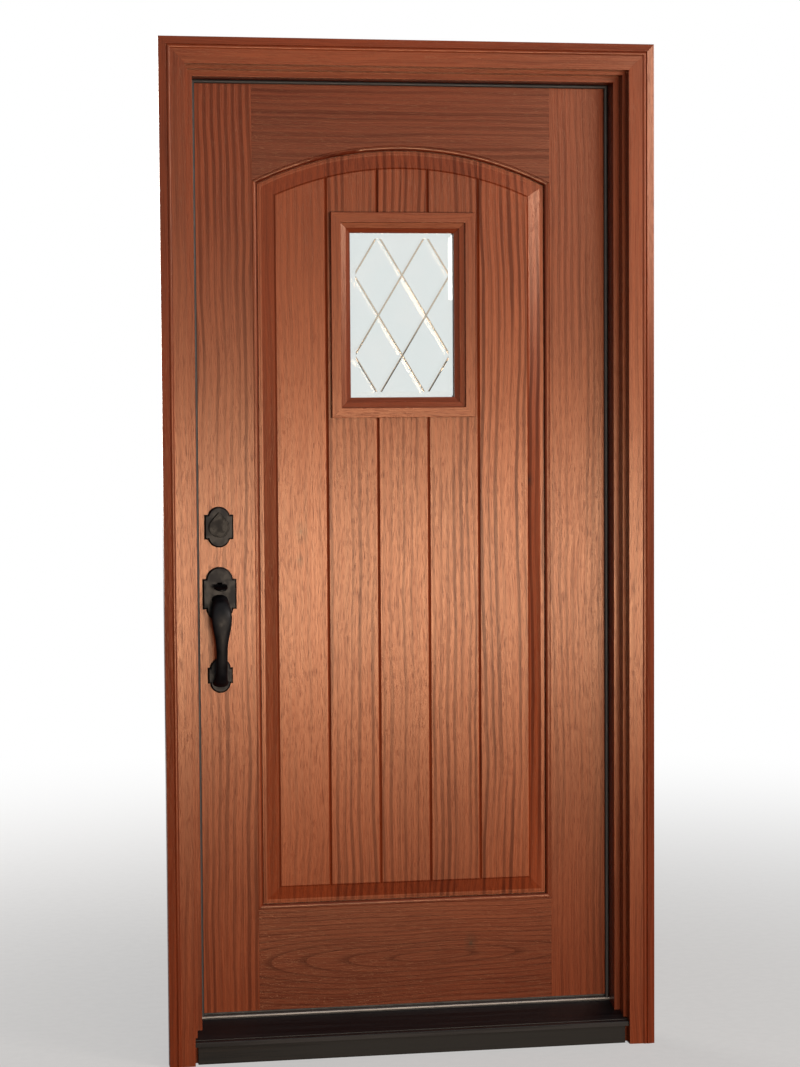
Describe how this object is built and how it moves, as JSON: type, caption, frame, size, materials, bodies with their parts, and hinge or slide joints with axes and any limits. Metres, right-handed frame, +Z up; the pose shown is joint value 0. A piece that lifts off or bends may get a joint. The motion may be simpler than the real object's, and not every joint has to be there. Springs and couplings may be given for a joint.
{
  "type": "arched entry door with frame",
  "caption": "Wooden entry door with an arched V-grooved plank panel, a small diamond-cut light and black handle set, hung in its rabbeted frame with sill.",
  "frame": {"origin": "centre of the sill's underside, in the plane of the leaf's outer face", "axes": "+X to the right as seen from outside, +Y into the building, +Z up"},
  "size_m": [1.0424, 0.2167, 2.1307],
  "materials": {
    "wood_stile": "satin varnish",
    "wood_rail": "satin varnish",
    "wood_plank": "satin varnish",
    "wood_frame": "satin varnish",
    "wood_light": "satin varnish",
    "sill_timber": "dark paint",
    "sill_bronze": "dark bronze anodised",
    "sill_aluminium": "mill",
    "seal_rubber": "matt",
    "glass": "clear",
    "spacer_metal": "satin",
    "black_iron": "matt black",
    "plug_brass": "satin",
    "hinge_metal": "satin black",
    "bolt_steel": "brushed",
    "screw_steel": "blackened"
  },
  "bodies": {
    "frame": {"brickmould_head": "wood_frame", "brickmould_left": "wood_frame", "brickmould_right": "wood_frame", "hinge_jamb_plates": "hinge_metal", "hinge_pins": "hinge_metal", "jamb_head": "wood_frame", "jamb_hinge_screws": "screw_steel", "jamb_left_lower": "wood_frame", "jamb_left_strike": "wood_frame", "jamb_left_upper": "wood_frame", "jamb_right": "wood_frame", "sill_cap": "sill_aluminium", "sill_riser": "sill_timber", "strike_plates": "hinge_metal", "strike_screws": "screw_steel", "threshold": "sill_bronze", "weatherstrip": "seal_rubber"},
    "leaf": {"light_inner_bottom": "wood_light", "light_inner_left": "wood_light", "light_inner_right": "wood_light", "light_inner_top": "wood_light", "light_outer_bottom": "wood_light", "light_outer_left": "wood_light", "light_outer_right": "wood_light", "light_outer_top": "wood_light", "plank_1": "wood_plank", "plank_2": "wood_plank", "plank_3_lower": "wood_plank", "plank_3_upper": "wood_plank", "plank_4": "wood_plank", "plank_5": "wood_plank", "lock_stile": "wood_stile", "hinge_stile": "wood_stile", "top_rail": "wood_rail", "bottom_rail": "wood_rail", "glass_outer": "glass", "glass_inner": "glass", "glass_spacer": "spacer_metal", "door_sweep": "seal_rubber", "hinge_leaf_plates": "hinge_metal", "leaf_hinge_screws": "screw_steel", "deadbolt_plate": "black_iron", "deadbolt_cylinder": "black_iron", "deadbolt_rose": "black_iron", "deadbolt_case": "bolt_steel", "latch_case": "bolt_steel", "face_plates": "hinge_metal", "face_plate_screws": "screw_steel", "handle_plate": "black_iron", "foot_plate": "black_iron", "grip": "black_iron", "latch_rose": "black_iron", "through_bolts": "black_iron"},
    "key_cover_body": {"key_cover": "black_iron"},
    "turn_body": {"thumb_turn": "black_iron"},
    "plug_body": {"key_plug": "plug_brass"},
    "deadbolt_body": {"deadbolt": "bolt_steel"},
    "knob_body": {"knob": "black_iron"},
    "thumb_body": {"thumb_piece": "black_iron"},
    "latch_body": {"latch_bolt": "bolt_steel"}
  },
  "joints": [
    {"name": "door_swing", "type": "hinge", "parent": "frame", "child": "leaf", "pos_m": [0.4587, 0.0511, 1.1], "axis": [0, 0, -1], "range_deg": [0, 110]},
    {"name": "key_cover_swing", "type": "hinge", "parent": "leaf", "child": "key_cover_body", "pos_m": [-0.3969, -0.009, 1.1419], "axis": [0, 1, 0], "range_deg": [-100, 100]},
    {"name": "deadbolt_turn", "type": "hinge", "parent": "leaf", "child": "turn_body", "pos_m": [-0.3969, 0.05, 1.1214], "axis": [0, 1, 0], "range_deg": [0, 90]},
    {"name": "plug_turn", "type": "hinge", "parent": "leaf", "child": "plug_body", "pos_m": [-0.3969, 0, 1.1214], "axis": [0, 1, 0], "range_deg": [0, 90]},
    {"name": "deadbolt_slide", "type": "slide", "parent": "leaf", "child": "deadbolt_body", "axis": [-1, 0, 0], "range_m": [0, 0.0254]},
    {"name": "knob_turn", "type": "hinge", "parent": "leaf", "child": "knob_body", "pos_m": [-0.3969, 0.06, 0.9817], "axis": [0, 1, 0], "range_deg": [0, 60], "stiffness_Nm_per_rad": 0.1, "springref_deg": 60},
    {"name": "thumb_press", "type": "hinge", "parent": "leaf", "child": "thumb_body", "pos_m": [-0.3969, -0.0032, 0.999], "axis": [-1, 0, 0], "range_deg": [0, 14]},
    {"name": "latch_slide", "type": "slide", "parent": "leaf", "child": "latch_body", "axis": [-1, 0, 0], "range_m": [0, 0.0127]}
  ],
  "couplings": [
    {"joint": "plug_turn", "follows": "deadbolt_turn", "ratio": 1},
    {"joint": "deadbolt_slide", "follows": "deadbolt_turn", "m_per_rad": 0.01617},
    {"joint": "thumb_press", "follows": "knob_turn", "ratio": 0.2333},
    {"joint": "latch_slide", "follows": "knob_turn", "m_per_rad": 0.012127}
  ]
}
